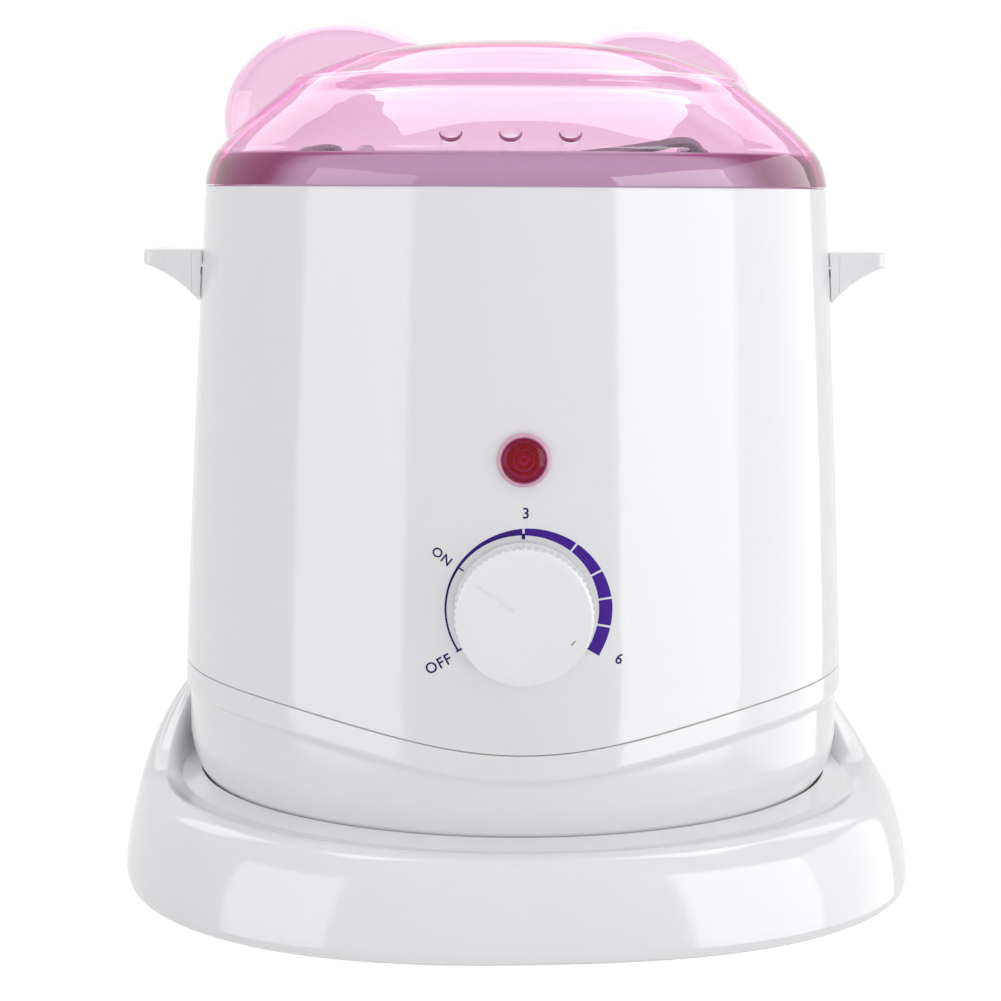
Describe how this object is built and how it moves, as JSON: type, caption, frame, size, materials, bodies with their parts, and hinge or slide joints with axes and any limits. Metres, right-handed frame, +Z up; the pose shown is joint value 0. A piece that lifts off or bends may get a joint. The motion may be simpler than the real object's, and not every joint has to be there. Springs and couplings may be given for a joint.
{
  "type": "wax heater",
  "caption": "Free-standing wax heater: tapered round housing on a flared stand, front dial, side handles, lift-out pot and clear dome lid.",
  "frame": {"origin": "centre of the footprint, on the surface the feet stand on", "axes": "+Z up along the housing axis; the dial faces -Y; +X is to the right as seen from the front"},
  "size_m": [0.197, 0.1966, 0.2106],
  "materials": {
    "white_plastic": "glossy white moulded plastic",
    "clear_pink": "clear pink moulded plastic",
    "grey_plastic": "satin grey plastic",
    "pink_plastic": "translucent pink plastic",
    "red_lens": "faceted dark red lens",
    "lamp_glass": "clear glass capsule",
    "foot_rubber": "black rubber",
    "seal_rubber": "red-brown silicone rubber",
    "steel": "zinc-plated steel",
    "heater_steel": "heat-tinted steel sheath over mica",
    "aluminium": "spun satin aluminium",
    "brass": "plain brass and copper",
    "fibre": "off-white fibre mat",
    "ceramic_white": "off-white ceramic or phenolic",
    "lead_sleeve": "coloured wire insulation"
  },
  "bodies": {
    "heater": {"base_stand": "white_plastic", "bottom_cover": "grey_plastic", "foot_1": "foot_rubber", "foot_2": "foot_rubber", "foot_3": "foot_rubber", "foot_4": "foot_rubber", "cover_screw_1": "steel", "cover_screw_2": "steel", "cover_screw_3": "steel", "cover_screw_4": "steel", "stand_screw_1": "steel", "stand_screw_2": "steel", "stand_screw_3": "steel", "lower_housing": "white_plastic", "upper_housing": "white_plastic", "top_collar": "white_plastic", "left_handle": "white_plastic", "right_handle": "white_plastic", "left_handle_screw_front": "steel", "left_handle_screw_rear": "steel", "right_handle_screw_front": "steel", "right_handle_screw_rear": "steel", "chamber_seal": "seal_rubber", "heating_chamber": "aluminium", "heater_band": "heater_steel", "insulation_sleeve": "fibre", "heater_plate": "heater_steel", "clamp_plate": "steel", "tie_rod_1": "steel", "tie_rod_2": "steel", "tie_rod_3": "steel", "thermostat_body": "ceramic_white", "bush_nut": "brass", "sensor_bulb": "brass", "sensor_clip": "steel", "thermal_fuse": "ceramic_white", "fuse_clip": "steel", "lamp_bezel": "pink_plastic", "lamp_lens": "red_lens", "neon_lamp": "lamp_glass", "lamp_nut": "grey_plastic", "cord_gland": "grey_plastic", "gland_nut": "grey_plastic", "terminal_block": "ceramic_white", "live_lead": "lead_sleeve", "neutral_lead": "lead_sleeve", "thermostat_lead": "lead_sleeve", "lamp_lead": "lead_sleeve"},
    "knob": {"control_knob": "white_plastic", "thermostat_shaft": "steel"},
    "pot": {"inner_pot": "aluminium", "pot_lug_front": "aluminium", "pot_lug_rear": "aluminium"},
    "bail": {"bail": "steel"},
    "lid": {"lid": "clear_pink"}
  },
  "joints": [
    {"name": "knob_turn", "type": "hinge", "parent": "heater", "child": "knob", "pos_m": [0, -0.088, 0.0765], "axis": [0, 1, 0], "range_deg": [-64.5, 175.8]},
    {"name": "pot_lift", "type": "slide", "parent": "heater", "child": "pot", "axis": [0, 0, 1], "range_m": [0, 0.1]},
    {"name": "lid_lift", "type": "slide", "parent": "pot", "child": "lid", "axis": [0, 0, 1], "range_m": [0, 0.16]},
    {"name": "bail_swing", "type": "hinge", "parent": "pot", "child": "bail", "pos_m": [0, 0, 0.1769], "axis": [-0.6691, 0.7431, 0], "range_deg": [0, 172]}
  ],
  "couplings": [
    {"joint": "bail_swing", "follows": "lid_lift", "rad_per_m": 18.7}
  ]
}
